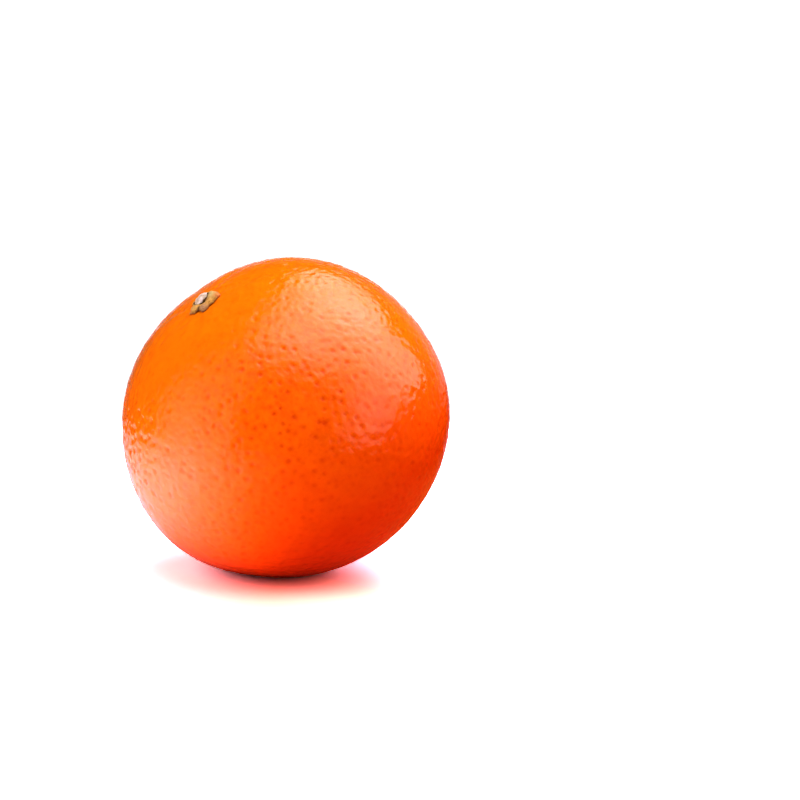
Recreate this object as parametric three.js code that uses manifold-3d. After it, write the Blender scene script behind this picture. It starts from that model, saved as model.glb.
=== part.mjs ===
// A whole mandarin lying on a table, with the dried calyx and the cut stub of its stalk.
// Millimetres, +Z up. The origin is on the flat spot that the fruit rests on, under its middle.
import * as THREE from 'three';
import { ConvexHull } from 'three/addons/math/ConvexHull.js';
import { mergeVertices } from 'three/addons/utils/BufferGeometryUtils.js';
import Module from 'manifold-3d';

// Driving dimensions in mm. Angles are in degrees, and a polar angle is measured from the stem end.
const EQUATOR_RADIUS = 31; // across the stem axis, at the widest
const POLE_RADIUS = 29.3; // from the middle to either end, before the ends sink in
const STEM_DIMPLE = { depth: 0.9, reach: 18 };
const BLOSSOM_DIMPLE = { depth: 0.9, reach: 20 };
const STYLE_SCAR = { depth: 0.5, reach: 3.4 }; // the pit that the style left at the blossom end
const FURROWS = { count: 7, depth: 0.22, middle: 17, reach: 9 }; // round the stem end
const SEGMENT_RIBS = { count: 10, height: 0.06 }; // the segments, just felt through the peel

// Where the fruit grew fuller or flatter. The last one is the cheek that it lies on.
const SWELLINGS = [
  { polar: 40, round: 194, height: 0.5, reach: 22 },
  { polar: 85, round: 167, height: -0.5, reach: 22 },
  { polar: 30, round: 330, height: 0.15, reach: 20 },
  { polar: 98, round: 349, height: 0.25, reach: 26 },
  { polar: 85, round: 120, height: 0.2, reach: 30 },
  { polar: 140, round: 0, height: -1.2, reach: 24 },
];

// The peel: oil-gland pits spread by the golden angle, drawn larger than life
const PITS = 1830;
const PIT_DEPTH = { least: 0.1, most: 0.26 };
const PIT_STRAY = 0.3; // how far a pit strays from its even place, as a share of their spacing
const SMOOTH_STEM_END = 9; // polar angle inside which the peel has no pits
const SEED = 41;

// How it lies: the stem end leans from upright towards a heading measured from +X
const STEM_TILT = 35;
const STEM_HEADING = 204.5;
const MIDDLE_HEIGHT = 28.2; // of the fruit's middle above the table

// The calyx: a thin star on the stem end, with a socket for the stub
const TOUCH_GAP = 0.3; // between two pieces that touch
const LOBE_THICKNESS = 0.65;
const LOBE_LIFT = 0.35; // of a lobe's tip above the peel
const STAR_WAIST = 2.35; // radius in the notches between the lobes
const LOBE_POINT = 1.5; // 1 is a pointed lobe with straight sides, 2 a round one
const LOBES = [
  { round: 13, radius: 3.9, half: 31 },
  { round: 67, radius: 3.7, half: 24 },
  { round: 129, radius: 4.0, half: 37 },
  { round: 208, radius: 2.9, half: 32 },
  { round: 290, radius: 2.7, half: 34 },
];
const RAGGED_EDGE = { height: 0.06, long_waves: 11, short_waves: 19 };
const SOCKET = { radius: 1.8, floor: 0.5, rim: 1, lip: 0.25 };
const CALYX_SIDES = 96;

// The stub: an oval stalk end, snapped off to a ridge that falls away to both ends
const STUB = { long: 3, short: 2.6, height: 1.8, bearing: 164 };
const RIDGE = { offset: 0.2, end_fall: 0.5, side_fall: 0.2 }; // falls in mm for each mm across
const BARK_RIBS = { count: 9, depth: 0.07 };
const STUB_SIDES = 36;

const { degToRad: radians, lerp } = THREE.MathUtils;

function bell(angle, reach) {
  return Math.exp(-((angle / reach) ** 2));
}

function directionAt(polar, round) {
  const across = Math.sin(polar);
  return new THREE.Vector3(across * Math.cos(round), across * Math.sin(round), Math.cos(polar));
}

const swellings = SWELLINGS.map(({ polar, round, height, reach }) => ({
  toward: directionAt(radians(polar), radians(round)),
  height,
  reach: radians(reach),
}));

// Distance from the fruit's middle to its smooth peel, along a unit direction
function peelRadius(direction) {
  const polar = direction.angleTo(new THREE.Vector3(0, 0, 1));
  const round = Math.atan2(direction.y, direction.x);
  const across = Math.sin(polar) / EQUATOR_RADIUS;
  const along = Math.cos(polar) / POLE_RADIUS;
  let radius = 1 / Math.hypot(across, along);
  radius -= STEM_DIMPLE.depth * bell(polar, radians(STEM_DIMPLE.reach));
  radius -= BLOSSOM_DIMPLE.depth * bell(Math.PI - polar, radians(BLOSSOM_DIMPLE.reach));
  radius -= STYLE_SCAR.depth * bell(Math.PI - polar, radians(STYLE_SCAR.reach));
  const fold = (1 + Math.cos(FURROWS.count * round)) / 2;
  radius -= FURROWS.depth * fold ** 3 * bell(polar - radians(FURROWS.middle), radians(FURROWS.reach));
  radius += SEGMENT_RIBS.height * Math.cos(SEGMENT_RIBS.count * round) * Math.sin(polar) ** 2;
  for (const { toward, height, reach } of swellings) {
    radius += height * bell(direction.angleTo(toward), reach);
  }
  return radius;
}

// Seeded random numbers from 0 to 1
function randomSource(seed) {
  let state = seed;
  return () => {
    state = (Math.imul(state, 1664525) + 1013904223) >>> 0;
    return state / 2 ** 32;
  };
}

// Directions of the pits, spread evenly over the fruit and each strayed a little
function pitDirections() {
  const random = randomSource(SEED);
  const golden = Math.PI * (3 - Math.sqrt(5));
  const spacing = Math.sqrt((4 * Math.PI) / PITS);
  return Array.from({ length: PITS }, (_, i) => {
    const direction = directionAt(Math.acos(1 - (2 * i + 1) / PITS), i * golden);
    const stray = new THREE.Vector3(random() - 0.5, random() - 0.5, random() - 0.5);
    return direction.addScaledVector(stray, 2 * PIT_STRAY * spacing).normalize();
  });
}

// The triangles of the hull round some directions, each as three of those directions
function hullTriangles(directions) {
  return new ConvexHull().setFromPoints(directions).faces.map(({ edge }) =>
    [edge, edge.next, edge.next.next].map((side) => side.head().point),
  );
}

// The peel dips at each pit and stands full midway between every three of them
function peelGeometry() {
  const random = randomSource(SEED);
  const depths = new Map();
  const pits = pitDirections();
  for (const pit of pits) {
    const depth = lerp(PIT_DEPTH.least, PIT_DEPTH.most, random());
    depths.set(pit, pit.z < Math.cos(radians(SMOOTH_STEM_END)) ? depth : 0);
  }
  const lands = hullTriangles(pits).map(([a, b, c]) => a.clone().add(b).add(c).normalize());
  const directions = [...pits, ...lands];
  const order = new Map(directions.map((direction, i) => [direction, i]));
  const geometry = new THREE.BufferGeometry();
  geometry.setIndex(hullTriangles(directions).flat().map((direction) => order.get(direction)));
  geometry.setFromPoints(directions.map((direction) =>
    direction.clone().multiplyScalar(peelRadius(direction) - (depths.get(direction) ?? 0)),
  ));
  return geometry;
}

// Closed geometry to a solid that can be cut, and back
function toSolid(wasm, geometry) {
  const bare = geometry.clone();
  bare.deleteAttribute('normal');
  bare.deleteAttribute('uv');
  const merged = mergeVertices(bare);
  return new wasm.Manifold(
    new wasm.Mesh({
      numProp: 3,
      vertProperties: merged.attributes.position.array,
      triVerts: merged.index.array,
    }),
  );
}

function toGeometry(solid) {
  const mesh = solid.getMesh();
  const geometry = new THREE.BufferGeometry();
  geometry.setAttribute('position', new THREE.BufferAttribute(mesh.vertProperties, 3));
  geometry.setIndex(new THREE.BufferAttribute(mesh.triVerts, 1));
  geometry.computeVertexNormals();
  return geometry;
}

// The fruit with its flat spot: what would reach below the table is cut off level
function fruitGeometry(wasm, pose) {
  const slab = 4 * EQUATOR_RADIUS;
  const table = new THREE.BoxGeometry(slab, slab, slab).translate(0, 0, -slab / 2);
  table.applyMatrix4(pose.matrix.clone().invert());
  return toGeometry(toSolid(wasm, peelGeometry()).subtract(toSolid(wasm, table)));
}

// Puts a point that is given by its distance from the stem axis, its bearing and its height above
// the smooth peel at the stem end
function ontoPeel(distance, round, height) {
  const direction = directionAt(distance / POLE_RADIUS, round);
  return direction.multiplyScalar(peelRadius(direction) + height);
}

// A profile of [radius, height] corners turned about the axis
function turned(profile, sides) {
  return new THREE.LatheGeometry(profile.map(([across, up]) => new THREE.Vector2(across, up)), sides);
}

// Moves every vertex of a turned shape, given its radius, bearing and height, to a new place
function reshape(geometry, place) {
  const position = geometry.attributes.position;
  for (let i = 0; i < position.count; i++) {
    const radius = Math.hypot(position.getX(i), position.getZ(i));
    const round = Math.atan2(position.getX(i), position.getZ(i));
    const { x, y, z } = place(radius, round, position.getY(i));
    position.setXYZ(i, x, y, z);
  }
  geometry.computeVertexNormals();
  return geometry;
}

// The star's outline: its radius in each direction round the stem
function starRadius(round) {
  let reach = 0;
  for (const lobe of LOBES) {
    const away = Math.acos(Math.cos(round - radians(lobe.round)));
    const side = Math.min(1, away / radians(lobe.half));
    reach = Math.max(reach, (lobe.radius - STAR_WAIST) * (1 - side ** LOBE_POINT));
  }
  const { height, long_waves, short_waves } = RAGGED_EDGE;
  const ragged = height * (Math.sin(long_waves * round + 1) + Math.sin(short_waves * round));
  return STAR_WAIST + reach + ragged;
}

// A profile turned about the stem, its outer part then stretched to the star and bent to the peel
function calyxGeometry() {
  const { radius, floor, rim, lip } = SOCKET;
  const wall = radius + lip;
  const shares = [0, 1 / 3, 2 / 3, 1];
  const across = (share) => lerp(wall, STAR_WAIST, share);
  const profile = [
    [0, 0],
    ...shares.map((share) => [across(share), 0]),
    ...shares.toReversed().map((share) => [across(share), lerp(rim, LOBE_THICKNESS, Math.sqrt(share))]),
    [radius, rim],
    [radius, floor],
    [0, floor],
  ];
  return reshape(turned(profile, CALYX_SIDES), (distance, round, up) => {
    const outward = Math.max(0, (distance - wall) / (STAR_WAIST - wall));
    const stretched = distance + outward * (starRadius(round) - STAR_WAIST);
    return ontoPeel(stretched, round, TOUCH_GAP + up + LOBE_LIFT * outward ** 2);
  });
}

// The stub stands in the socket, clear of its floor and wall. Its profile has a height of 1.
function stubGeometry() {
  const base = ontoPeel(0, 0, TOUCH_GAP + SOCKET.floor + TOUCH_GAP).z;
  const radius = STUB.long / 2;
  const turn = radians(STUB.bearing);
  const profile = [
    [0, 0],
    [0.94 * radius, 0],
    [radius, 0.5],
    [0.98 * radius, 0.9],
    [0.85 * radius, 1],
    [0.6 * radius, 0.98],
    [0.3 * radius, 1],
    [0, 1],
  ];
  return reshape(turned(profile, STUB_SIDES), (distance, round, up) => {
    const bark = 1 - (BARK_RIBS.depth * (1 + Math.cos(BARK_RIBS.count * round))) / 2;
    const along = distance * bark * Math.cos(round);
    const aside = distance * bark * Math.sin(round) * (STUB.short / STUB.long);
    const fall = RIDGE.end_fall * Math.abs(along + RIDGE.offset) + RIDGE.side_fall * aside;
    return {
      x: along * Math.cos(turn) - aside * Math.sin(turn),
      y: along * Math.sin(turn) + aside * Math.cos(turn),
      z: base + up * (STUB.height - fall),
    };
  });
}

function piece(name, geometry, color, roughness) {
  const mesh = new THREE.Mesh(geometry, new THREE.MeshStandardMaterial({ color, roughness, metalness: 0 }));
  mesh.name = name;
  return mesh;
}

const wasm = await Module();
wasm.setup();

const mandarin = new THREE.Group();
mandarin.position.set(0, 0, MIDDLE_HEIGHT);
mandarin.rotation.set(0, radians(STEM_TILT), radians(STEM_HEADING), 'ZYX');
mandarin.updateMatrix();
mandarin.add(
  piece('fruit', fruitGeometry(wasm, mandarin), 0xfd6e05, 0.38),
  piece('calyx', calyxGeometry(), 0xdcb060, 0.8),
  piece('stem_stub', stubGeometry(), 0xc8bdb0, 0.85),
);

export default mandarin;
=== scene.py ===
"""A ripe mandarin lying on a white table, with its dried calyx and the cut stub of its stalk.

The rind, the calyx and the stub are made fine here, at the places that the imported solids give.
Shapes are worked out in millimetres, and every finished mesh is in metres.
"""

import math

import bpy
import numpy as np
from mathutils import Matrix, Vector, kdtree, noise


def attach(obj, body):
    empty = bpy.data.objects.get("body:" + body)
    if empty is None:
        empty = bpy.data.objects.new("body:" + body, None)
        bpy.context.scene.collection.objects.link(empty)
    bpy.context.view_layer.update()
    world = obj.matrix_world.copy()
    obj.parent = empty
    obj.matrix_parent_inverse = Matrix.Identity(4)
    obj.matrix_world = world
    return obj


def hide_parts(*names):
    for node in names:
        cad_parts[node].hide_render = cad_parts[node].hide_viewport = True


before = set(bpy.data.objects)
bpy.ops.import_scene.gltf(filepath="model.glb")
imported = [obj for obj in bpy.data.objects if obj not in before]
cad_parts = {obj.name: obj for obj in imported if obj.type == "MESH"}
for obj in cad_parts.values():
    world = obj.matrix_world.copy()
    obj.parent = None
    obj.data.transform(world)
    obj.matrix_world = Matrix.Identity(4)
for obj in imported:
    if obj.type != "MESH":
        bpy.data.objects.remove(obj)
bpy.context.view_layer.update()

# ---- Camera ----------------------------------------------------------------------------------
# A 150 mm lens on a 36 mm sensor, 62 cm from the fruit's middle and ten degrees above the table.
# The fruit stands left of the middle of the picture.

MM = 0.001
MIDDLE = Vector((0, 0, 28.2))  # the fruit's middle above the table, in mm
CAMERA_DISTANCE = 620
CAMERA_ELEVATION = math.radians(10)
CAMERA_LENS = 149.94
CAMERA_SENSOR = 36
NEAREST_SEEN = 10  # mm from the camera
FRAME_CENTRE = (21.23, 3.755)  # of the picture, in mm to the right of and above the fruit's middle

to_right = Vector((1, 0, 0))
to_top = Vector((0, math.sin(CAMERA_ELEVATION), math.cos(CAMERA_ELEVATION)))
to_camera = to_right.cross(to_top)
stand = MIDDLE + to_right * FRAME_CENTRE[0] + to_top * FRAME_CENTRE[1] + to_camera * CAMERA_DISTANCE
bpy.ops.object.camera_add(location=stand * MM, rotation=(math.pi / 2 - CAMERA_ELEVATION, 0, 0))
camera = bpy.context.object
camera.data.sensor_width = CAMERA_SENSOR
camera.data.lens = CAMERA_LENS
camera.data.clip_start = NEAREST_SEEN * MM
bpy.context.scene.camera = camera

# ---- Table -----------------------------------------------------------------------------------
# A matt white board, lit so brightly that the camera sees only the fruit's own shadow on it, and a
# painted reddish shade and glow in front of the fruit. For the rind it is painted dimmer far off and
# behind, with painted shade and orange glow at the fruit's foot and painted orange light at the front
# right. A camera below it sees through it.

TABLE_RADIUS = 155  # mm
TABLE_LEFT = 320  # mm that it reaches to the left, where the rind mirrors it low down
TABLE_SIDES = 96
TABLE_WHITE = (2.5, 2.5, 2.65, 1)  # as the camera sees it, far over white
TABLE_PAINTED_BLUSH = (1.9, 1.05, 0.8, 1)  # painted reddish shade and glow in front of the fruit, as its own colour throws on it
PAINTED_BLUSH_FROM = (-178, -90)  # bearings in degrees between which the painted blush comes in
PAINTED_BLUSH_TO = (20, -60)  # and between which it goes out again
PAINTED_BLUSH_REACH = (44, 31)  # radii in mm between which it fades
TABLE_MIRRORED = (2.38, 2.21, 2.55, 1)  # the white that the rind mirrors
BOUNCE = 0.82  # the share of that white which it adds to the soft light
BACK_BEARING = 105  # degrees, the way to its dimmest side
BACK_DIM = (0.05, 0.81, 0.42)  # cosines of the turn from there, and the light's share at the second
FAR_DIM = (70, 150, 0.65)  # radii in mm, and the light's share at the second
FOOT_PAINTED_SHADE = (0.92, 0.22, 0.07, 1)  # painted shade and orange glow that the fruit's underside sees close round its foot
FOOT_REACH = (10, 34)  # radii in mm between which that goes over into the rest
PAINTED_GLOW = (0.54, 0.13, 0.02, 1)  # painted orange light from the front right, as off more fruit there
GLOW_FROM = (-115, -80)  # bearings between which it comes in, in soft light
GLOW_MIRRORED_FROM = (-160, -100)  # and as the rind mirrors it
GLOW_TO = (80, 50)  # bearings between which it goes out again


def linear(hex_colour):
    """An sRGB hex colour as the linear RGBA that a shader takes."""
    parts = [int(hex_colour[i : i + 2], 16) / 255 for i in (1, 3, 5)]
    return [p / 12.92 if p <= 0.04045 else ((p + 0.055) / 1.055) ** 2.4 for p in parts] + [1]


def add_node(tree, kind, inputs=None, **settings):
    """Adds a shader node. Its sockets, by name or number, take a value or another node's output.

    A Mix node's go by number: 0 is the share, 2 and 3 are two values, 6 and 7 are two colours, and
    the mixture comes out at 0 or, for colours, at 2.
    """
    made = tree.nodes.new(kind)
    for name, value in settings.items():
        setattr(made, name, value)
    for socket, value in (inputs or {}).items():
        if isinstance(value, bpy.types.NodeSocket):
            tree.links.new(value, made.inputs[socket])
        else:
            made.inputs[socket].default_value = value
    return made


def new_material(name):
    """An empty node material and its node tree."""
    material = bpy.data.materials.new(name)
    material.use_nodes = True
    material.node_tree.nodes.clear()
    return material, material.node_tree


bpy.ops.object.select_all(action="DESELECT")
bpy.ops.mesh.primitive_circle_add(vertices=TABLE_SIDES, radius=TABLE_RADIUS * MM, fill_type="NGON")
table = bpy.context.object
table.name = "white_table"
for vertex in table.data.vertices:
    if vertex.co.x < 0:
        vertex.co.x *= TABLE_LEFT / TABLE_RADIUS

table_paint, tree = new_material("matt_white_table")
place = add_node(tree, "ShaderNodeTexCoord").outputs["Object"]
bearing = add_node(tree, "ShaderNodeTexGradient", {"Vector": place}, gradient_type="RADIAL").outputs["Fac"]
from_foot = add_node(tree, "ShaderNodeVectorMath", {0: place}, operation="LENGTH").outputs["Value"]
ray = add_node(tree, "ShaderNodeLightPath")


def within_edges(*edges):
    """The product of soft edges, each a value and the two places where it is 0 and 1."""
    share = 1.0
    for value, (nothing, full) in edges:
        edge = add_node(
            tree,
            "ShaderNodeMapRange",
            {"Value": value, "From Min": nothing, "From Max": full},
            interpolation_type="SMOOTHSTEP",
        )
        share = add_node(
            tree, "ShaderNodeMath", {0: edge.outputs[0], 1: share}, operation="MULTIPLY"
        ).outputs[0]
    return share


def turns(bearings):
    """Bearings in degrees as the radial gradient gives them, from 0 to 1."""
    return [degrees / 360 + 0.5 for degrees in bearings]


def metres(lengths):
    return [length * MM for length in lengths]


# Painted orange light from the front right. The rind's mirror sees it reaching further round than soft light
# does.
soft_glow = within_edges((bearing, turns(GLOW_FROM)), (bearing, turns(GLOW_TO)))
sharp_glow = within_edges((bearing, turns(GLOW_MIRRORED_FROM)), (bearing, turns(GLOW_TO)))
glow = add_node(tree, "ShaderNodeMix", {0: ray.outputs["Is Glossy Ray"], 2: soft_glow, 3: sharp_glow})
# Where the painted shade and orange glow round the foot give way to the rest.
off_foot = within_edges((from_foot, metres(FOOT_REACH)))
# Painted reddish shade and glow on the table in front of the fruit, for the camera alone.
painted_blush = within_edges(
    (bearing, turns(PAINTED_BLUSH_FROM)), (bearing, turns(PAINTED_BLUSH_TO)), (from_foot, metres(PAINTED_BLUSH_REACH))
)

# Painted falloff of light: the white that the rind sees is dimmed far off and behind.
outwards = add_node(tree, "ShaderNodeVectorMath", {0: place}, operation="NORMALIZE")
back = [math.cos(math.radians(BACK_BEARING)), math.sin(math.radians(BACK_BEARING)), 0]
towards_back = add_node(
    tree, "ShaderNodeVectorMath", {0: outwards.outputs[0], 1: back}, operation="DOT_PRODUCT"
)
lit_share = add_node(
    tree, "ShaderNodeMapRange", {"Value": ray.outputs["Is Glossy Ray"], "To Min": BOUNCE, "To Max": 1}
).outputs[0]
for value, (start, end), dimmed in (
    (from_foot, metres(FAR_DIM[:2]), FAR_DIM[2]),
    (towards_back.outputs["Value"], BACK_DIM[:2], BACK_DIM[2]),
):
    dim = add_node(
        tree,
        "ShaderNodeMapRange",
        {"Value": value, "From Min": start, "From Max": end, "To Min": 1, "To Max": dimmed},
    )
    lit_share = add_node(
        tree, "ShaderNodeMath", {0: lit_share, 1: dim.outputs[0]}, operation="MULTIPLY"
    ).outputs[0]
lit_white = add_node(
    tree, "ShaderNodeVectorMath", {0: TABLE_MIRRORED[:3], 1: lit_share}, operation="MULTIPLY"
)

glowing = add_node(
    tree, "ShaderNodeMix", {0: glow.outputs[0], 6: lit_white.outputs[0], 7: PAINTED_GLOW}, data_type="RGBA"
)
# For the rind: the painted shade and glow at the foot, over the rest of the board.
mirrored = add_node(
    tree, "ShaderNodeMix", {0: off_foot, 6: FOOT_PAINTED_SHADE, 7: glowing.outputs[2]}, data_type="RGBA"
)
# The camera sees the white with the painted blush.
seen_white = add_node(tree, "ShaderNodeMix", {0: painted_blush, 6: TABLE_WHITE, 7: TABLE_PAINTED_BLUSH}, data_type="RGBA")
paint = add_node(
    tree,
    "ShaderNodeMix",
    {0: ray.outputs["Is Camera Ray"], 6: mirrored.outputs[2], 7: seen_white.outputs[2]},
    data_type="RGBA",
)
board = add_node(tree, "ShaderNodeBsdfDiffuse", {"Color": paint.outputs[2]})
clear = add_node(tree, "ShaderNodeBsdfTransparent")
side = add_node(tree, "ShaderNodeNewGeometry")
from_below = add_node(
    tree,
    "ShaderNodeMath",
    {0: side.outputs["Backfacing"], 1: ray.outputs["Is Camera Ray"]},
    operation="MULTIPLY",
)
seen = add_node(
    tree, "ShaderNodeMixShader", {0: from_below.outputs[0], 1: board.outputs[0], 2: clear.outputs[0]}
)
add_node(tree, "ShaderNodeOutputMaterial", {"Surface": seen.outputs[0]})
table.data.materials.append(table_paint)

# ---- Studio light ----------------------------------------------------------------------------
# A softbox in two parts leans over the fruit from the right, a white curtain hangs on the left, and
# paper hangs behind. An orange card warms the right cheek, three small lamps fill the shadows, and
# the room is dim. The camera sees plain white round the table.

# An aim is a way from the fruit, towards the right, the top and the camera, and a distance is in mm.
# Corners are slopes from the aim, up and over. A lamp has its place up and over, reach and strength.
SOFTBOX_AIM = (0.7, 0.7, 0.1)
SOFTBOX_DISTANCE = 600
SOFTBOX_CORNERS = [
    (1.2, -1.55),
    (0.35, -1.55),
    (0.06, -0.6),
    (0.06, 1.35),
    (2.6, 2.3),
    (2.6, -0.4),
    (1.35, -0.7),
]
SOFTBOX_LAMPS = [
    (0.32, -0.22, (1.68, 1.09), 6.4),
    (0.78, 0.59, (1.94, 1.12), 4.6),
    (1.89, 1.09, (1.8, 2.09), 1.5),
    (0.75, -0.98, (0.95, 1.18), 3.46),
]
LOW_SOFTBOX_CORNERS = [
    (0.06, -0.48),
    (-0.12, -0.46),
    (-0.32, -0.72),
    (-0.58, -0.78),
    (-0.65, -0.33),
    (-0.9, -0.03),
    (-1.5, 0.58),
    (-1.75, 0.8),
    (-1.75, 2.3),
    (0.06, 1.7),
]
LOW_SOFTBOX_LAMPS = [
    (-0.52, -0.48, (0.42, 0.87), 1.7),
    (-0.05, -0.08, (1.25, 1.5), 4.82),
    (-0.79, 0.65, (1.0, 1.14), 2.47),
    (-1.39, 1.16, (0.81, 1.52), 1.83),
]
CURTAIN_AIM = (-0.9, 0.07, 0.42)
CURTAIN_DISTANCE = 500
CURTAIN_CORNERS = [
    (-0.4, -0.72),
    (-0.4, 0.6),
    (0.2, 0.5),
    (0.5, 0.75),
    (1.2, 0.75),
    (1.2, -0.05),
    (0.5, -0.4),
    (0.2, -0.7),
]
CURTAIN_LAMPS = [(-1.33, -0.11, (2.28, 1.21), 9.0), (1.77, 0.42, (3.5, 0.87), 0.97)]
BACKDROP_AIM = (0.38, 0.05, -0.92)
BACKDROP_DISTANCE = 500
BACKDROP_CORNERS = [(-0.1, -0.5), (-0.1, 0.5), (0.6, 0.5), (0.6, -0.5)]
BACKDROP_LAMPS = [(0.1, 0, (0.7, 0.8), 0.62)]
SWEEP_AIM = (0, 0, -1)  # straight behind the fruit
SWEEP_CORNERS = [
    (0.75, 0),
    (0.5, 0.13),
    (0.23, 0.23),
    (0, 0.32),
    (-0.23, 0.23),
    (-0.32, 0),
    (-0.3, -0.4),
    (0, -0.7),
    (0.45, -0.65),
    (0.75, -0.4),
]
SWEEP_LAMPS = [(0.04, -0.03, (0.48, 0.48), 3.6), (0.3, 0.05, (1.2, 1.2), 0.27)]
CARD_AIM = (1, 0, 0)
CARD_DISTANCE = 60
CARD_CORNERS = [(0.3, -1.73), (-0.03, 0.15), (-0.27, 0.28), (-0.55, 1.73), (-0.8, 1.73), (-0.8, -1.73)]
CARD_ORANGE = "#a84808"
FILLS = [  # name, aim, distance and side in mm, watts
    ("side_fill", (-0.8, 0.47, 0.38), 420, 250, 0.54),
    ("front_fill", (0.1, 0.35, 1), 420, 280, 0.25),
    ("right_glow", (0.9, 0.42, 0.2), 58, 20, 0.003),
]
END_ON = 0.9  # cosine past which an aim is too close to the camera's own to be levelled by it
CLOTH_WHITE = (1.0, 0.93, 1.08, 1)
ROOM_WHITE = "#ffffff"
ROOM_GLOSS = 0.02  # what the rind reflects of the room
ROOM_FILL = 0.1  # what the room adds to the soft light
ROOM_SEEN = 1.2  # what the camera sees of it, a little over white
VIEW_GAMMA = 0.8  # under 1, for more contrast and deeper colour


def in_view(right, top, toward):
    """A direction given from the camera's place, in the frame's axes."""
    return to_right * right + to_top * top + to_camera * toward


def light_panel(name, aim, distance, corners):
    """A flat panel facing the fruit, by its corners' slopes up and towards the camera."""
    aim = in_view(*aim).normalized()
    level = to_camera if abs(aim.dot(to_camera)) < END_ON else to_right
    across = (level - aim * aim.dot(level)).normalized()
    along = across.cross(aim)
    if along.dot(to_top) < 0:
        along.negate()
    bpy.ops.object.select_all(action="DESELECT")
    bpy.ops.mesh.primitive_circle_add(vertices=len(corners), fill_type="NGON")
    panel = bpy.context.object
    panel.name = name
    slopes = panel.data.uv_layers.new(name="slopes").data
    for vertex, (up, over) in zip(panel.data.vertices, corners):
        vertex.co = ((aim + along * up + across * over) * distance + MIDDLE) * MM
    for loop in panel.data.loops:
        slopes[loop.index].uv = corners[loop.vertex_index]
    panel.visible_camera = False
    return panel


def lamps_behind(panel, name, lamps):
    """Lights a panel's cloth from behind by round soft lamps."""
    cloth, tree = new_material(name)
    slope = add_node(tree, "ShaderNodeUVMap", uv_map="slopes").outputs[0]
    total = 0.0
    for up, over, reach, strength in lamps:
        away = add_node(
            tree,
            "ShaderNodeMapping",
            {"Vector": slope, "Location": (up, over, 0), "Scale": (*reach, 1)},
            vector_type="TEXTURE",
        )
        pool = add_node(
            tree, "ShaderNodeTexGradient", {"Vector": away.outputs[0]}, gradient_type="QUADRATIC_SPHERE"
        )
        total = add_node(
            tree, "ShaderNodeMath", {0: pool.outputs["Fac"], 1: strength, 2: total}, operation="MULTIPLY_ADD"
        ).outputs[0]
    light = add_node(tree, "ShaderNodeEmission", {"Color": CLOTH_WHITE, "Strength": total})
    add_node(tree, "ShaderNodeOutputMaterial", {"Surface": light.outputs[0]})
    panel.data.materials.append(cloth)


softbox = light_panel("softbox", SOFTBOX_AIM, SOFTBOX_DISTANCE, SOFTBOX_CORNERS)
lamps_behind(softbox, "softbox_cloth", SOFTBOX_LAMPS)

low_softbox = light_panel("low_softbox", SOFTBOX_AIM, SOFTBOX_DISTANCE, LOW_SOFTBOX_CORNERS)
lamps_behind(low_softbox, "low_softbox_cloth", LOW_SOFTBOX_LAMPS)

curtain = light_panel("curtain", CURTAIN_AIM, CURTAIN_DISTANCE, CURTAIN_CORNERS)
lamps_behind(curtain, "white_curtain", CURTAIN_LAMPS)

backdrop = light_panel("backdrop", BACKDROP_AIM, BACKDROP_DISTANCE, BACKDROP_CORNERS)
lamps_behind(backdrop, "backdrop_paper", BACKDROP_LAMPS)

sweep = light_panel("sweep", SWEEP_AIM, BACKDROP_DISTANCE, SWEEP_CORNERS)
lamps_behind(sweep, "sweep_paper", SWEEP_LAMPS)

card = light_panel("orange_card", CARD_AIM, CARD_DISTANCE, CARD_CORNERS)
card.visible_shadow = False
card_paint, tree = new_material("orange_card")
matt = add_node(tree, "ShaderNodeBsdfDiffuse", {"Color": linear(CARD_ORANGE)})
add_node(tree, "ShaderNodeOutputMaterial", {"Surface": matt.outputs[0]})
card.data.materials.append(card_paint)

for name, aim, distance, side, watts in FILLS:
    aim = in_view(*aim).normalized()
    bpy.ops.object.light_add(
        type="AREA",
        location=(MIDDLE + aim * distance) * MM,
        rotation=aim.to_track_quat("Z", "Y").to_euler(),
    )
    fill = bpy.context.object
    fill.name = name
    fill.data.size = side * MM
    fill.data.energy = watts
    fill.visible_camera = fill.visible_glossy = False

world = bpy.data.worlds.new("dim_room")
world.use_nodes = True
tree = world.node_tree
tree.nodes.clear()
ray = add_node(tree, "ShaderNodeLightPath")
reflected = add_node(
    tree,
    "ShaderNodeMapRange",
    {"Value": ray.outputs["Is Glossy Ray"], "To Min": ROOM_FILL, "To Max": ROOM_GLOSS},
)
dim = add_node(
    tree, "ShaderNodeBackground", {"Color": linear(ROOM_WHITE), "Strength": reflected.outputs[0]}
)
white = add_node(tree, "ShaderNodeBackground", {"Color": linear(ROOM_WHITE), "Strength": ROOM_SEEN})
sky = add_node(
    tree, "ShaderNodeMixShader", {0: ray.outputs["Is Camera Ray"], 1: dim.outputs[0], 2: white.outputs[0]}
)
add_node(tree, "ShaderNodeOutputWorld", {"Surface": sky.outputs[0]})
bpy.context.scene.world = world
bpy.context.scene.view_settings.view_transform = "Standard"
bpy.context.scene.view_settings.gamma = VIEW_GAMMA

# ---- Fruit -----------------------------------------------------------------------------------
# The rind is one living skin, grown over ten segments, dimpled where each oil gland lies under it
# and sunk in at both ends. It was washed and waxed. Its glands show most in front, and it is
# roughest on its left flank.

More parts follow.
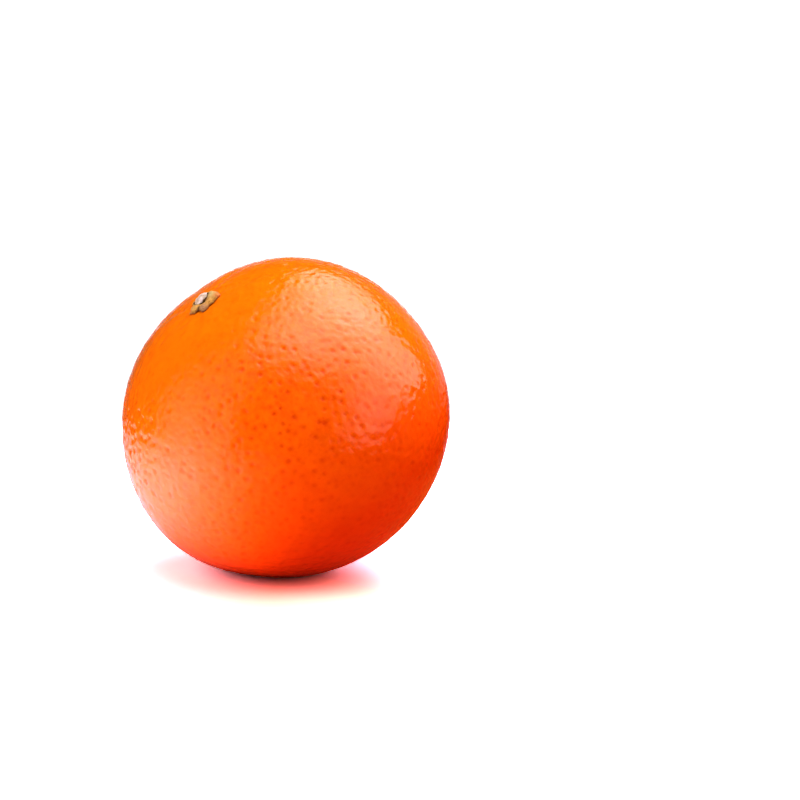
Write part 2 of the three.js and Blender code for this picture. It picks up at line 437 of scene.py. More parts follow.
EQUATOR_RADIUS = 31.0  # mm, across the stem axis
POLE_RADIUS = 29.3
WAVE_ROOM = 0.09  # mm by which the rind is drawn in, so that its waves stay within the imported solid
STEM_DIMPLE = (0.9, 18)  # depth in mm, reach in degrees
BLOSSOM_DIMPLE = (0.9, 20)
STYLE_SCAR = (0.5, 3.4)  # the pit that the flower's style left
FURROWS = {"count": 7, "depth": 0.11, "middle": 17, "reach": 9}  # round the stem end
SEGMENT_RIBS = {"count": 10, "height": 0.06}
SWELLINGS = [  # angle from the stem end, bearing round it, height in mm, reach in degrees
    (40, 194, 0.5, 22),
    (85, 167, -0.5, 22),
    (30, 330, 0.15, 20),
    (98, 349, 0.25, 26),
    (85, 120, 0.2, 30),
    (140, 0, -1.2, 24),
]
STEM_TILT = 35  # degrees from upright
STEM_HEADING = 204.5  # degrees round from the right
FLAT_SOFTNESS = 0.12  # mm over which the flat spot's edge is rounded
HALVINGS = 7  # of each edge of the cube that the rind is grown from

SMOOTH_STEM_END = 9  # angle from the stem end inside which the rind has no glands
GLANDS = {"count": 2600, "seed": 41, "stray": 0.35, "depth": (0.06, 0.25), "radius": (0.34, 0.48)}
SMALL_GLANDS = {"count": 4200, "seed": 7, "stray": 0.5, "depth": (0.02, 0.1), "radius": (0.28, 0.4)}
GLAND_CLEARANCE = 1.0  # mm from a gland to the nearest small one
GLAND_BRIM = 2.4  # of its radii, past which a dimple is too shallow to press
SMALL_MOUTH = 0.5  # how much colour the mouth of a small gland has, beside that of a large one
FAINT_MOUTH = 0.35  # and that of the shallowest gland, beside that of the deepest
SHALLOW_GLANDS = 1.5  # a power over 1, so that more glands are shallow than deep
MOUTH_TIGHTNESS = 1.1  # a power over 1, so that a mouth's colour is narrower than its dimple
SPECKLED = (62, 82)  # where the glands show most, in front: angle from the stem end and bearing
SPECKLED_COLOUR = (0.34, 0.76, 27)  # a mouth's colour everywhere, how much more there, and reach
SPECKLED_DEPTH = (0.6, 0.4, 34)  # a gland's depth in the same way
ROUGH_FLANK = (62, 1)  # where the rind is roughest, on the left
ROUGH_REACH = 17  # degrees
ROUGH_GLANDS = 1.35  # how much deeper its glands are
ROUGH_WAVES = 0.9  # and how much higher its waves
ROLLING = [(0.035, 12), (0.062, 3.4), (0.056, 1.6)]  # height and length of the rind's faint waves, mm

lying = (
    Matrix.Translation(MIDDLE)
    @ Matrix.Rotation(math.radians(STEM_HEADING), 4, "Z")
    @ Matrix.Rotation(math.radians(STEM_TILT), 4, "Y")
)


def bell(angle, reach):
    return np.exp(-((angle / reach) ** 2))


def directions_at(polar, bearing):
    """Unit directions at an angle from the stem end and a bearing round it, in radians."""
    across = np.sin(polar)
    return np.stack([across * np.cos(bearing), across * np.sin(bearing), np.cos(polar)], axis=-1)


def angle_from(place, directions):
    """Degrees from a place, given by its angle from the stem end and its bearing, to directions."""
    cosine = np.asarray(directions) @ directions_at(*np.radians(place))
    return np.degrees(np.arccos(np.clip(cosine, -1, 1)))


def peel_radius(directions):
    """Distance in mm from the fruit's middle to its smooth rind, along unit directions."""
    polar = np.degrees(np.arccos(np.clip(directions[..., 2], -1, 1)))
    bearing = np.arctan2(directions[..., 1], directions[..., 0])
    across = np.sin(np.radians(polar))
    radius = 1 / np.hypot(across / EQUATOR_RADIUS, directions[..., 2] / POLE_RADIUS) - WAVE_ROOM
    radius -= STEM_DIMPLE[0] * bell(polar, STEM_DIMPLE[1])
    radius -= BLOSSOM_DIMPLE[0] * bell(180 - polar, BLOSSOM_DIMPLE[1])
    radius -= STYLE_SCAR[0] * bell(180 - polar, STYLE_SCAR[1])
    fold = (1 + np.cos(FURROWS["count"] * bearing)) / 2
    radius -= FURROWS["depth"] * fold**3 * bell(polar - FURROWS["middle"], FURROWS["reach"])
    radius += SEGMENT_RIBS["height"] * np.cos(SEGMENT_RIBS["count"] * bearing) * across**2
    for *place, height, reach in SWELLINGS:
        radius += height * bell(angle_from(place, directions), reach)
    return radius


def random_numbers(seed):
    """An endless row of seeded numbers from 0 to 1, by a linear congruence."""
    state = seed
    while True:
        state = (state * 1664525 + 1013904223) % 2**32
        yield state / 2**32


def gland_directions(glands):
    """Directions of glands spread by the golden angle, each strayed a little."""
    numbers = random_numbers(glands["seed"])
    order = np.arange(glands["count"])
    even = directions_at(
        np.arccos(1 - (2 * order + 1) / glands["count"]), order * math.pi * (3 - math.sqrt(5))
    )
    stray = np.array([[next(numbers) - 0.5 for _ in range(3)] for _ in order])
    spacing = math.sqrt(4 * math.pi / glands["count"])
    strayed = even + stray * 2 * glands["stray"] * spacing
    return strayed / np.linalg.norm(strayed, axis=1, keepdims=True)


def tree_of(directions):
    """A search tree of directions at the equator's radius, in mm."""
    found = kdtree.KDTree(len(directions))
    for index, direction in enumerate(directions * EQUATOR_RADIUS):
        found.insert(direction, index)
    found.balance()
    return found


def read_points(mesh):
    points = np.empty(len(mesh.vertices) * 3)
    mesh.vertices.foreach_get("co", points)
    return points.reshape(-1, 3)


def write_points(mesh, points):
    mesh.vertices.foreach_set("co", np.asarray(points, dtype=float).ravel())
    mesh.update()


def add_mask(mesh, name, values):
    """Keeps a number from 0 to 1 with every vertex, for the material to read."""
    mesh.attributes.new(name, "FLOAT", "POINT").data.foreach_set("value", np.asarray(values, float))


def lay_down(points):
    """Points in the stem's axes, in mm, turned and set down as the fruit lies."""
    turn = np.array(lying.to_3x3())
    return points @ turn.T + np.array(lying.translation)


bpy.ops.object.select_all(action="DESELECT")
bpy.ops.mesh.primitive_cube_add(size=2)
rind = bpy.context.object
rind.name = rind.data.name = "rind"
bpy.ops.object.modifier_add(type="SUBSURF")
halving = rind.modifiers[-1]
halving.subdivision_type = "SIMPLE"
halving.levels = halving.render_levels = HALVINGS
bpy.ops.object.modifier_apply(modifier=halving.name)

even_cube = np.tan(read_points(rind.data) * math.pi / 4)
skin = even_cube / np.linalg.norm(even_cube, axis=1, keepdims=True)
nearby = tree_of(skin)
depth = np.zeros(len(skin))
mouth = np.zeros(len(skin))


def press_glands(places, glands, share_of_mouth):
    """Presses a round dimple into the rind over each gland, and marks its mouth's darker colour, partly its
    own and partly painted shade in the dimple.
    """
    numbers = random_numbers(glands["seed"])
    shallowest, deepest = glands["depth"]
    narrowest, widest = glands["radius"]
    from_speckled = angle_from(SPECKLED, places)
    shown = SPECKLED_COLOUR[0] + SPECKLED_COLOUR[1] * bell(from_speckled, SPECKLED_COLOUR[2])
    pressed = SPECKLED_DEPTH[0] + SPECKLED_DEPTH[1] * bell(from_speckled, SPECKLED_DEPTH[2])
    pressed += ROUGH_GLANDS * bell(angle_from(ROUGH_FLANK, places), ROUGH_REACH)
    for place, place_shown, place_pressed in zip(places, shown, pressed):
        strength = next(numbers) ** SHALLOW_GLANDS
        radius = narrowest + next(numbers) * (widest - narrowest)
        gland_depth = place_pressed * (shallowest + strength * (deepest - shallowest))
        # A mouth's darker colour: partly the gland's own, partly painted shade in its dimple.
        colour = share_of_mouth * place_shown * (FAINT_MOUTH + (1 - FAINT_MOUTH) * strength)
        for _, index, away in nearby.find_range(place * EQUATOR_RADIUS, GLAND_BRIM * radius):
            dip = math.exp(-((away / radius) ** 2))
            depth[index] += gland_depth * dip
            mouth[index] = max(mouth[index], dip**MOUTH_TIGHTNESS * colour)


stem_end = math.cos(math.radians(SMOOTH_STEM_END))
large = gland_directions(GLANDS)
large = large[large[:, 2] < stem_end]
among = tree_of(large)
small = [
    place
    for place in gland_directions(SMALL_GLANDS)
    if place[2] < stem_end and among.find(place * EQUATOR_RADIUS)[2] > GLAND_CLEARANCE
]
press_glands(large, GLANDS, 1.0)
press_glands(small, SMALL_GLANDS, SMALL_MOUTH)

waves = np.zeros(len(skin))
for height, length in ROLLING:
    for index, direction in enumerate(skin):
        waves[index] += height * noise.noise(Vector(direction) * EQUATOR_RADIUS / length * 2)
waves *= 1 + ROUGH_WAVES * bell(angle_from(ROUGH_FLANK, skin), ROUGH_REACH)
points = lay_down(skin * (peel_radius(skin) - depth + waves)[:, None])
points[:, 2] = (points[:, 2] + np.hypot(points[:, 2], FLAT_SOFTNESS)) / 2
write_points(rind.data, points * MM)
add_mask(rind.data, "gland_mouth", mouth)
add_mask(rind.data, "from_stem", np.arccos(np.clip(skin[:, 2], -1, 1)) / math.pi)
add_mask(rind.data, "speckled", bell(angle_from(SPECKLED, skin), SPECKLED_COLOUR[2]))
bpy.ops.object.shade_smooth()

# Waxed citrus rind: translucent orange zest under a thin clear wax. It gives a deep saturated
# colour, redder away from the stem, partly riper there and partly painted shade on that lower side,
# darker in the gland mouths, partly their own colour and partly painted shade in their dimples,
# and a clear soft reflection.
ZEST_STEM = "#f58304"
ZEST = "#f07104"
# Redder on the side that lies away from the stem, partly riper and partly painted shade.
ZEST_RIPE_SHADED = "#e65104"
RIPENING_AND_SHADE = (0.1, 0.5, 0.72)  # shares of the way from the stem end where those three lie
BLOTCHES = 14  # mm across, the patches that ripened sooner
BLOTCH_LEAD = 0.12  # how far along the way from the stem end they are ahead, at most
# The gland mouths' colour, partly their own and partly painted shade in their dimples. The oil patches take
# it too.
ZEST_MOUTH = "#cc3a02"
PALE_MOUTHS = (0.1, 0.34, 0.25)  # shares of that way between which mouths darken, and how dark before
OIL_PATCHES = 2.6  # mm across, the patches where oil under the rind darkens it
OIL_SEEN = (0.38, 0.68)  # of the noise that makes them, from nothing to full
OIL_DEPTH = (0.13, 0.22)  # how much they darken it: everywhere, and more where it is speckled
SKIN_GRAINS = [  # mm across, detail, roughness, height in mm
    (0.5, 2, 0.6, 0.025),
    (1.5, 1, 0.5, 0.085),
]
SCAR_CORK = "#6e4a22"  # the scar that the flower's style left at the far end
SCAR_EDGE = (0.9895, 0.9945)  # shares of the way from the stem end between which the rind turns to cork
SCAR_FRAY = 0.012  # how far that edge strays, in the same shares
SCAR_GRAIN = 0.9  # mm across
SCAR_ROUGHNESS = 0.3  # mm high
MOUTH_WAXLESS = 0.7  # the share of the wax that doesn't hold on a gland's mouth
FLESH_GLOW = 2.2  # mm that light travels in the rind

rind_skin, tree = new_material("waxed_mandarin_rind")
place = add_node(tree, "ShaderNodeTexCoord").outputs["Object"]
from_stem, mouth_mask, speckled = [
    add_node(tree, "ShaderNodeAttribute", attribute_name=name).outputs["Fac"]
    for name in ("from_stem", "gland_mouth", "speckled")
]

blotches = add_node(
    tree,
    "ShaderNodeTexNoise",
    {"Vector": place, "Scale": 1 / (BLOTCHES * MM), "Detail": 3, "Roughness": 0.5},
)
grown = add_node(
    tree,
    "ShaderNodeMath",
    {0: blotches.outputs[0], 1: BLOTCH_LEAD, 2: from_stem},
    operation="MULTIPLY_ADD",
)
ripening_and_shade = add_node(tree, "ShaderNodeValToRGB", {"Fac": grown.outputs[0]})
ramp = ripening_and_shade.color_ramp
ramp.elements[0].position, ramp.elements[0].color = RIPENING_AND_SHADE[0], linear(ZEST_STEM)
ramp.elements[1].position, ramp.elements[1].color = RIPENING_AND_SHADE[2], linear(ZEST_RIPE_SHADED)
ramp.elements.new(RIPENING_AND_SHADE[1]).color = linear(ZEST)

deepened = add_node(
    tree,
    "ShaderNodeMapRange",
    {
        "Value": from_stem,
        "From Min": PALE_MOUTHS[0],
        "From Max": PALE_MOUTHS[1],
        "To Min": PALE_MOUTHS[2],
        "To Max": 1.0,
    },
)
mouth_colour_and_shade = add_node(tree, "ShaderNodeMath", {0: mouth_mask, 1: deepened.outputs[0]}, operation="MULTIPLY")
oil = add_node(
    tree,
    "ShaderNodeTexNoise",
    {"Vector": place, "Scale": 1 / (OIL_PATCHES * MM), "Detail": 3, "Roughness": 0.75},
)
oily = add_node(
    tree,
    "ShaderNodeMapRange",
    {"Value": oil.outputs[0], "From Min": OIL_SEEN[0], "From Max": OIL_SEEN[1]},
)
oil_depth = add_node(
    tree, "ShaderNodeMath", {0: speckled, 1: OIL_DEPTH[1], 2: OIL_DEPTH[0]}, operation="MULTIPLY_ADD"
)
patchy = add_node(
    tree, "ShaderNodeMath", {0: oil_depth.outputs[0], 1: oily.outputs[0]}, operation="MULTIPLY"
)
cork_grain = add_node(
    tree,
    "ShaderNodeTexNoise",
    {"Vector": place, "Scale": 1 / (SCAR_GRAIN * MM), "Detail": 3, "Roughness": 0.6},
)
frayed = add_node(
    tree, "ShaderNodeMath", {0: cork_grain.outputs[0], 1: SCAR_FRAY, 2: from_stem}, operation="MULTIPLY_ADD"
)
scar = add_node(
    tree,
    "ShaderNodeMapRange",
    {"Value": frayed.outputs[0], "From Min": SCAR_EDGE[0], "From Max": SCAR_EDGE[1]},
    interpolation_type="SMOOTHSTEP",
)
zest = ripening_and_shade.outputs[0]
for share, colour in ((mouth_colour_and_shade, ZEST_MOUTH), (patchy, ZEST_MOUTH), (scar, SCAR_CORK)):
    zest = add_node(
        tree, "ShaderNodeMix", {0: share.outputs[0], 6: zest, 7: linear(colour)}, data_type="RGBA"
    ).outputs[2]

reliefs = []
for across, detail, roughness, height in SKIN_GRAINS:
    grain = add_node(
        tree,
        "ShaderNodeTexNoise",
        {"Vector": place, "Scale": 1 / (across * MM), "Detail": detail, "Roughness": roughness},
    )
    reliefs.append((grain, height))
cork = add_node(tree, "ShaderNodeMath", {0: cork_grain.outputs[0], 1: scar.outputs[0]}, operation="MULTIPLY")
reliefs.append((cork, SCAR_ROUGHNESS))
below = {}
for relief, height in reliefs:
    bump = add_node(
        tree,
        "ShaderNodeBump",
        {"Height": relief.outputs[0], "Strength": 1.0, "Distance": height * MM, **below},
    )
    below = {"Normal": bump.outputs[0]}

oiled = add_node(tree, "ShaderNodeMath", {0: mouth_mask, 1: MOUTH_WAXLESS}, operation="MULTIPLY")
waxless = add_node(tree, "ShaderNodeMath", {0: oiled.outputs[0], 1: scar.outputs[0]}, operation="MAXIMUM")
wax = add_node(tree, "ShaderNodeMath", {0: 1.0, 1: waxless.outputs[0]}, operation="SUBTRACT")
surface = add_node(
    tree,
    "ShaderNodeBsdfPrincipled",
    {
        "Base Color": zest,
        "Roughness": 0.38,
        "IOR": 1.45,
        "Specular IOR Level": 0.0,
        "Normal": bump.outputs[0],
        "Subsurface Weight": 0.25,
        "Subsurface Radius": (1.0, 0.35, 0.08),
        "Subsurface Scale": FLESH_GLOW * MM,
        "Coat Weight": wax.outputs[0],
        "Coat Roughness": 0.11,
        "Coat IOR": 1.45,
        "Coat Normal": bump.outputs[0],
    },
)
add_node(tree, "ShaderNodeOutputMaterial", {"Surface": surface.outputs[0]})
rind.data.materials.append(rind_skin)
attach(rind, "root")
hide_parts("fruit")

# ---- Calyx -----------------------------------------------------------------------------------
# The dried calyx: the short sepals that held the flower, shrunk to a hard corky star. It grew on
# the stem end and lies on the peel, its front lobes folded and pinched, its rim frayed.

SEPAL_EDGE = [  # bearing round the stem in degrees, distance from its axis in mm
    (2, 2.8), (8, 3.75), (30, 3.85), (42, 3.9), (50, 2.9), (57, 4.3), (62, 4.7), (72, 4.85),
    (79, 4.7), (85, 3.8), (92, 4.4), (101, 4.3), (111, 4.05), (119, 4.1), (133, 4.2), (142, 3.7), (152, 2.9),
    (168, 2.35), (190, 2.5), (208, 2.9), (224, 2.5), (250, 2.3), (275, 2.5), (290, 2.7), (308, 2.4),
    (335, 2.0), (350, 2.15),
]
SEPAL_FRAY = [(0.02, 23, 0), (0.015, 41, 50)]  # share of that distance, count round the rim, shift
SEPAL_TOP = [  # bearing, distance, height above the peel in mm
    (139, 1.8, 1.15), (148, 2.1, 1.1), (136, 3.5, 0.95), (124, 2.3, 1.15), (125, 3.2, 0.9), (112, 2.1, 1.0),
    (105, 3.4, 0.55), (92, 3.6, 0.45), (95, 2.5, 0.7), (82, 2.6, 0.4), (66, 2.5, 0.6), (66, 3.8, 0.45),
    (85, 1.7, 0.3), (104, 1.75, 0.5), (60, 1.7, 0.3), (125, 1.8, 0.8),
    (50, 2.3, 0.3), (36, 2.4, 0.7), (20, 1.7, 0.65), (14, 2.7, 0.75), (28, 3.3, 0.5), (8, 3.4, 0.2),
    (345, 1.8, 0.5), (310, 2.0, 0.55), (290, 2.3, 0.45), (250, 2.0, 0.6), (208, 2.5, 0.45), (180, 2.0, 0.8),
]
SEPAL_BLEND = 0.55  # mm over which those heights go over into each other
SEPAL_CREASES = [(0.07, 0.9, 0), (0.035, 0.35, 5)]  # height and length in mm, and a shift
SEPAL_LIFTS = [(98, 20, 0.22), (50, 12, 0.12), (15, 14, 0.1), (208, 20, 0.1)]  # bearing, reach, height
SEPAL_SEAT = 0.02  # mm between the peel and its underside
RIM_LIFT = 0.03  # mm more at the rim
SEPAL_THINNEST = 0.08  # mm
RIM_WIDTH = 0.14  # mm from the hole's wall to its top edge
RIM_ROUNDING = (5, 0.55)  # powers, of the way out and of what is left of it
SOCKET_FLOOR = 0.15  # mm above the peel, under the stub
STUB_EDGE = [  # bearing, distance
    (0, 1.35), (25, 1.3), (50, 1.05), (70, 0.95), (106, 1.05), (130, 1.3), (146, 1.55), (190, 1.4),
    (235, 1.5), (278, 1.35), (322, 1.65),
]
STUB_GAP = 0.07  # mm between the stub and the hole's wall
CREVICE = (98, 48, 0.44)  # the wider gap beside the stub: bearing, reach round it, extra width in mm
CORNER_SOFTNESS = 4  # degrees by which an outline's corners are rounded
SEPAL_ROWS = {"floor": 8, "wall": 10, "top": 84, "under": 24}
UNDER_PARTS = 3  # of the underside's rows, the first of which lies inside the hole's edge
SEPAL_SIDES = 540
SEAM = 0.0001  # mm within which two points are one


def outline(bearing, corners):
    """Distance from the stem's axis to an edge, at bearings in degrees."""
    angles, distances = zip(*corners)
    turns = (-CORNER_SOFTNESS, 0, CORNER_SOFTNESS)
    return np.mean([np.interp(bearing + turn, angles, distances, period=360) for turn in turns], axis=0)


def rippled(bearing, ripples):
    """A factor round 1 that ripples round the stem."""
    return 1 + sum(share * np.sin(np.radians(bearing * count + shift)) for share, count, shift in ripples)


def blended(bearing, distance, places, reach):
    """A height at each point, blended from the nearest of a few known ones."""
    x = distance * np.cos(np.radians(bearing))
    y = distance * np.sin(np.radians(bearing))
    total = weight = 1e-30  # so that no point is divided by nothing
    for toward, out, height in places:
        away = np.hypot(x - out * math.cos(math.radians(toward)), y - out * math.sin(math.radians(toward)))
        near = bell(away, reach)
        total = total + near * height
        weight = weight + near
    return total / weight


def round_difference(bearing, toward):
    return np.abs((bearing - toward + 180) % 360 - 180)


def grained(points, grains):
    """Seeded relief at points in mm, from grains of a height and a length, each shifted."""
    return sum(
        height * np.array([noise.noise(Vector(point) * 2 / length) for point in points + shift])
        for height, length, shift in grains
    )


def between(value, nothing, full):
    """Where a value lies between two marks, from 0 to 1 and never past them."""
    return np.clip((value - nothing) / (full - nothing), 0, 1)


def turned_sheet(name, sides, rows):
    """A flat grid to be wrapped round the stem, and its points' bearings and row numbers."""
    bpy.ops.object.select_all(action="DESELECT")
    bpy.ops.mesh.primitive_grid_add(x_subdivisions=sides, y_subdivisions=rows - 1, size=2)
    sheet = bpy.context.object
    sheet.name = sheet.data.name = name
    flat = read_points(sheet.data)
    return sheet, (flat[:, 0] + 1) * 180, np.rint((flat[:, 1] + 1) / 2 * (rows - 1)).astype(int)


def wrap_round_stem(sheet, bearing, distance, height):
    """Lays a sheet's points round the stem at heights above the peel, and closes its seams."""
    directions = directions_at(distance / POLE_RADIUS, np.radians(bearing))
    write_points(sheet.data, lay_down(directions * (peel_radius(directions) + height)[:, None]) * MM)
    bpy.ops.object.mode_set(mode="EDIT")
    bpy.ops.mesh.select_all(action="SELECT")
    bpy.ops.mesh.remove_doubles(threshold=SEAM * MM)
    bpy.ops.mesh.normals_make_consistent(inside=False)
    bpy.ops.object.mode_set(mode="OBJECT")
    bpy.ops.object.shade_smooth()


# Its rows run from the axis along the socket's floor, up the hole's wall, out over the top to the
# rim, and back along the underside to the axis.
floor, wall, top, under = SEPAL_ROWS.values()
calyx, bearing, row = turned_sheet("dry_calyx", SEPAL_SIDES, floor + wall + top + under)
edge = outline(bearing, SEPAL_EDGE) * rippled(bearing, SEPAL_FRAY)
beside_stub = bell(round_difference(bearing, CREVICE[0]), CREVICE[1])
hole = outline(bearing, STUB_EDGE) + STUB_GAP + CREVICE[2] * beside_stub
floor_share = np.linspace(0, 1, floor)
wall_share = np.linspace(0, 1, wall + 1)[1:]
top_share = np.linspace(0, 1, top + 1)[1:]
under_part = UNDER_PARTS * (1 - np.linspace(0, 1, under + 1)[1:])
under_share = np.maximum(0, (under_part - 1) / (UNDER_PARTS - 1))
inward = np.concatenate([floor_share, np.ones(wall + top), np.minimum(1, under_part)])[row]
climb = np.concatenate([np.zeros(floor), wall_share, np.ones(top + under)])[row]
outward = np.concatenate([np.zeros(floor + wall), top_share, under_share])[row]
upper = row < floor + wall + top
distance = hole * inward + climb * upper * RIM_WIDTH + (edge - hole - RIM_WIDTH * upper) * outward
lift = sum(height * bell(round_difference(bearing, toward), reach) for toward, reach, height in SEPAL_LIFTS)
beneath = SEPAL_SEAT + (RIM_LIFT + lift) * outward**2
on_peel = directions_at(distance / POLE_RADIUS, np.radians(bearing)) * POLE_RADIUS
crest = blended(bearing, distance, SEPAL_TOP, SEPAL_BLEND) + grained(on_peel, SEPAL_CREASES)
crest = np.maximum(crest, beneath + SEPAL_THINNEST)
body = beneath + (crest - beneath) * (1 - outward ** RIM_ROUNDING[0]) ** RIM_ROUNDING[1]
up = np.where(upper, SOCKET_FLOOR + (body - SOCKET_FLOOR) * np.sin(climb * math.pi / 2), beneath)

# Where its colours change, marked on the mesh: its own colours, painted shade and a painted highlight.
RIM_BROWN_AND_SHADE = (0.6, 1.0)  # shares of the way out between which the rim's brown comes in: partly its own, partly painted shade along and under its edge
HIGHEST_CREST = 1.2  # mm, at which a crest is palest with painted highlight
SEPAL_TIPS = [(127, 9), (10, 12)]  # bearing and reach of the tips so thin that the peel shines through
THIN_FROM = (0.45, 0.85)  # shares of the way out between which they grow thin
ROSY_LOBE = (67, 17)  # bearing and reach of the lobe that stayed rosy
ROSY_FROM = (1.9, 2.7)  # mm from the axis between which its colour comes in
SEPAL_FOLD = (49, 6)  # bearing and reach of the fold between the two front lobes, darkened with painted shade
FOLD_FROM = (1.6, 2.6)  # mm from the axis between which its painted shade comes in
FOLD_DARKEST = 0.8
BANK_FROM = (0.54, 0.09)  # mm from the hole between which the bank beside the stub is darkened with painted shade
BANK_DARKEST = 0.9
WALL_LIGHT = (0.3, 9)  # how fast the light comes in up the hole's wall and out over its top

# Brown on the rim and all over the underside: partly the dried rim's own colour, partly painted shade under
# it.
add_mask(calyx.data, "sepal_edge", np.where(upper, between(outward, *RIM_BROWN_AND_SHADE), 1))
# A painted highlight: the higher the crest, the paler it is painted.
add_mask(calyx.data, "sepal_crest", between(up, 0, HIGHEST_CREST))
# Painted shade, kept as the crevice mask: in the hole round the stub, on the bank beside it and in the fold
# between the front lobes.
fold = bell(round_difference(bearing, SEPAL_FOLD[0]), SEPAL_FOLD[1])
fold = fold * np.minimum(FOLD_DARKEST, between(distance, *FOLD_FROM))
bank = beside_stub * np.minimum(BANK_DARKEST, between(distance - hole, *BANK_FROM)) * upper
in_hole = 1 - np.clip(climb * WALL_LIGHT[0] + outward * WALL_LIGHT[1], 0, 1)
add_mask(calyx.data, "crevice", np.maximum(np.maximum(in_hole, bank), fold))
thin = sum(bell(round_difference(bearing, toward), reach) for toward, reach in SEPAL_TIPS)
add_mask(calyx.data, "thin_tip", thin * between(outward, *THIN_FROM))
rosy = bell(round_difference(bearing, ROSY_LOBE[0]), ROSY_LOBE[1])
add_mask(calyx.data, "rosy_lobe", rosy * between(distance, *ROSY_FROM))
wrap_round_stem(calyx, bearing, distance, up)

# Dead corky sepal: dull tan and ochre with no shine. It is paler on its high crests, partly where
# they are rubbed and partly painted highlight, brown along its frayed rim, partly its own colour and
# partly painted shade, and darkened with painted shade in the creases and round the stub.
SEPAL = "#cc9d50"
SEPAL_PALE = "#c0a66c"
SEPAL_ROSY = "#b28a62"
SEPAL_BROWN = "#7d4a14"
# Painted: the orange light of the peel shining through the thin tips.
SEPAL_TIP = "#cb8c50"
# Painted shade in the hole, beside the stub and in the fold.
CREVICE_PAINTED_SHADE = "#4a2c08"
FRECKLES = 0.5  # mm across
FRECKLE_HEIGHT = 0.05  # mm
RUBBED = 1.3  # mm across, the patches rubbed pale
RUBBED_SHARE = 0.5  # how much they count beside the height of a crest, which is painted lighter as light falls on it


def painted(tree, ground, coats):
    """A ground colour with coats of others, each where a value lies between its two marks."""
    colour = linear(ground)
    for value, (nothing, full), over in coats:
        share = add_node(
            tree, "ShaderNodeMapRange", {"Value": value, "From Min": nothing, "From Max": full}
        )
        colour = add_node(
            tree, "ShaderNodeMix", {0: share.outputs[0], 6: colour, 7: linear(over)}, data_type="RGBA"
        ).outputs[2]
    return colour


cork_skin, tree = new_material("dry_corky_sepal")
place = add_node(tree, "ShaderNodeTexCoord").outputs["Object"]
rim, high, rosy, thin, dark = [
    add_node(tree, "ShaderNodeAttribute", attribute_name=name).outputs["Fac"]
    for name in ("sepal_edge", "sepal_crest", "rosy_lobe", "thin_tip", "crevice")
]
freckles = add_node(tree, "ShaderNodeTexNoise", {"Vector": place, "Scale": 1 / (FRECKLES * MM), "Detail": 3})
rubbed = add_node(tree, "ShaderNodeTexNoise", {"Vector": place, "Scale": 1 / (RUBBED * MM), "Detail": 2})
rubbed_and_lit = add_node(
    tree, "ShaderNodeMath", {0: rubbed.outputs[0], 1: RUBBED_SHARE, 2: high}, operation="MULTIPLY_ADD"
)
tan = painted(
    tree,
    SEPAL,
    [
        # Paler where rubbed, and painted highlight on the high crests.
        (rubbed_and_lit.outputs[0], (0.6, 1.15), SEPAL_PALE),
        (rosy, (0, 1), SEPAL_ROSY),
        (freckles.outputs[0], (0.55, 0.75), SEPAL_BROWN),
        # The rim's brown, partly its own and partly painted shade.
        (rim, (0.2, 1.3), SEPAL_BROWN),
        (thin, (0, 1), SEPAL_TIP),
        # Painted shade in the hole, beside the stub and in the fold.
        (dark, (0, 1), CREVICE_PAINTED_SHADE),
    ],
)
rough_cork = add_node(
    tree,
    "ShaderNodeBump",
    {"Height": freckles.outputs[0], "Strength": 1.0, "Distance": FRECKLE_HEIGHT * MM},
)
cork = add_node(
    tree,
    "ShaderNodeBsdfPrincipled",
    {
        "Base Color": tan,
        "Roughness": 0.8,
        "IOR": 1.45,
        "Specular IOR Level": 0.25,
        "Normal": rough_cork.outputs[0],
    },
)
add_node(tree, "ShaderNodeOutputMaterial", {"Surface": cork.outputs[0]})
calyx.data.materials.append(cork_skin)
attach(calyx, "root")
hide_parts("calyx")

# ---- Stub ------------------------------------------------------------------------------------
# The stub of the stalk, cut off short at the calyx and weathered grey. Its top is split along the
# grain into flat faces, and a dark crevice runs between it and the largest sepal.

STUB_TOP = [  # bearing, distance, height above the peel in mm
    (0, 0, 1.1), (146, 1.5, 1.0), (160, 0.9, 1.15), (200, 1.0, 1.15), (235, 1.2, 1.1), (278, 1.0, 1.0),
    (322, 1.2, 0.55), (0, 0.9, 0.65), (35, 0.9, 0.65), (70, 1.5, 0.4), (50, 1.2, 0.45), (100, 1.2, 0.75),
    (110, 0.8, 0.95),
]
STUB_BLEND = 0.42  # mm over which those heights go over into each other
STUB_FOOT = 0.18  # mm above the peel
STUB_ROWS = {"top": 48, "side": 14}
STUB_SIDES = 240
STUB_RIBS = [(0.03, 11, 0), (0.02, 17, 40)]  # share of its width, count round it, shift
TOP_ROUNDING = (0.1, 6)  # mm by which the top falls at its edge, and the power that keeps it there
GRAIN_BEARING = 115  # the way that the wood splits
GRAIN_STRETCH = 3  # how many times longer its splinters are than wide
SPLINTERS = [(0.12, 0.7, 0), (0.05, 0.22, 3)]  # height and width in mm, and a shift
STUB_SPLIT = (0.38, 0.14, 0.16)  # the deepest split: its place across the grain, width and depth in mm
BARK_TOP = 0.25  # share of the way down at which the cut has gone over into bark

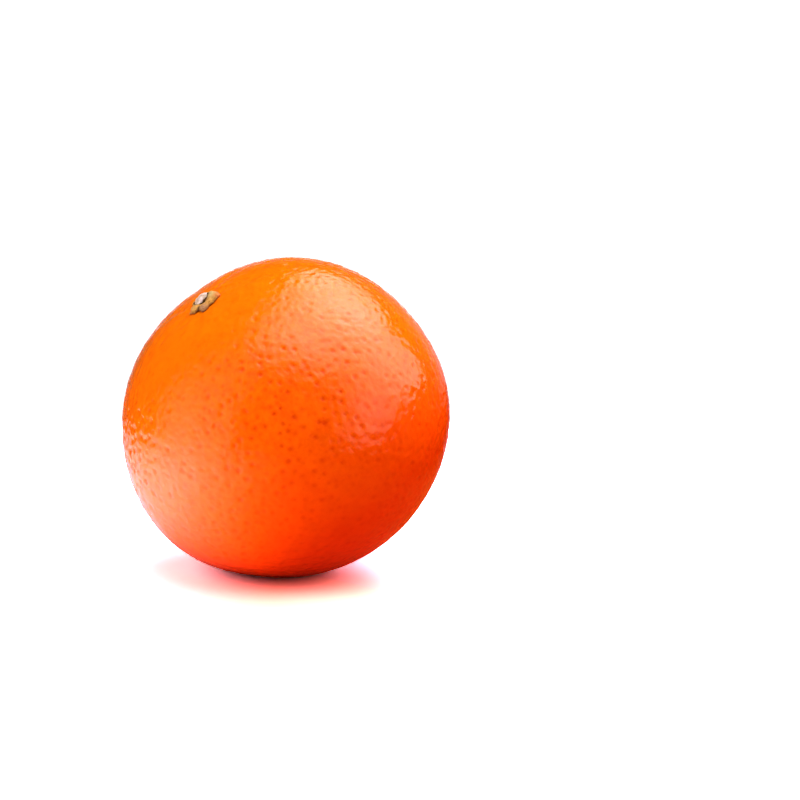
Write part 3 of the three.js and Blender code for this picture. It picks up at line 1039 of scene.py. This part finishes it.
top, side = STUB_ROWS.values()
stub, bearing, row = turned_sheet("stalk_stub", STUB_SIDES, top + side)
across = np.concatenate([np.linspace(0, 1, top), np.ones(side)])[row]
down = np.concatenate([np.zeros(top), np.linspace(0, 1, side + 1)[1:]])[row]
distance = outline(bearing, STUB_EDGE) * across * rippled(bearing, STUB_RIBS)
along = distance * np.cos(np.radians(bearing - GRAIN_BEARING))
aside = distance * np.sin(np.radians(bearing - GRAIN_BEARING))
in_grain = np.stack([along / GRAIN_STRETCH, aside, np.zeros(len(along))], axis=1)
split = STUB_SPLIT[2] * bell(aside - STUB_SPLIT[0], STUB_SPLIT[1])
cut = blended(bearing, distance, STUB_TOP, STUB_BLEND) + grained(in_grain, SPLINTERS) - split
cut -= TOP_ROUNDING[0] * across ** TOP_ROUNDING[1]
up = cut * (1 - down) + STUB_FOOT * down
add_mask(stub.data, "bark", between(down, 0, BARK_TOP))
wrap_round_stem(stub, bearing, distance, up)

# Weathered wood: silver grey with a pinkish white where it is freshly split, darker in the grain,
# and brown bark down its side.
WOOD = "#c6b296"
WOOD_FRESH = "#e6d3c2"
WOOD_GRAIN = "#968c70"
BARK = "#80602c"
FIBRES = 0.35  # mm across
FIBRE_HEIGHT = 0.05  # mm
FRESH_PATCHES = 1.2  # mm across

stub_skin, tree = new_material("weathered_stalk_wood")
place = add_node(tree, "ShaderNodeTexCoord").outputs["Object"]
bark = add_node(tree, "ShaderNodeAttribute", attribute_name="bark").outputs["Fac"]
fibres = add_node(tree, "ShaderNodeTexNoise", {"Vector": place, "Scale": 1 / (FIBRES * MM), "Detail": 3})
fresh = add_node(
    tree, "ShaderNodeTexNoise", {"Vector": place, "Scale": 1 / (FRESH_PATCHES * MM), "Detail": 1}
)
grey = painted(
    tree,
    WOOD,
    [
        (fresh.outputs[0], (0.4, 0.65), WOOD_FRESH),
        (fibres.outputs[0], (0.52, 0.75), WOOD_GRAIN),
        (bark, (0, 1), BARK),
    ],
)
fibrous = add_node(
    tree, "ShaderNodeBump", {"Height": fibres.outputs[0], "Strength": 1.0, "Distance": FIBRE_HEIGHT * MM}
)
wood = add_node(
    tree,
    "ShaderNodeBsdfPrincipled",
    {
        "Base Color": grey,
        "Roughness": 0.85,
        "IOR": 1.5,
        "Specular IOR Level": 0.2,
        "Normal": fibrous.outputs[0],
    },
)
add_node(tree, "ShaderNodeOutputMaterial", {"Surface": wood.outputs[0]})
stub.data.materials.append(stub_skin)
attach(stub, "root")
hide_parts("stem_stub")

# ---- What the fills light --------------------------------------------------------------------
# The front fill and the glow on the right are flagged off the table, so that they leave the fruit's
# own shadow alone.

FLAGGED_FILLS = ("front_fill", "right_glow")

fruit_only = bpy.data.collections.new("lit_by_the_front_fill")
for piece in (rind, calyx, stub):
    fruit_only.objects.link(piece)
for name in FLAGGED_FILLS:
    bpy.data.objects[name].light_linking.receiver_collection = fruit_only
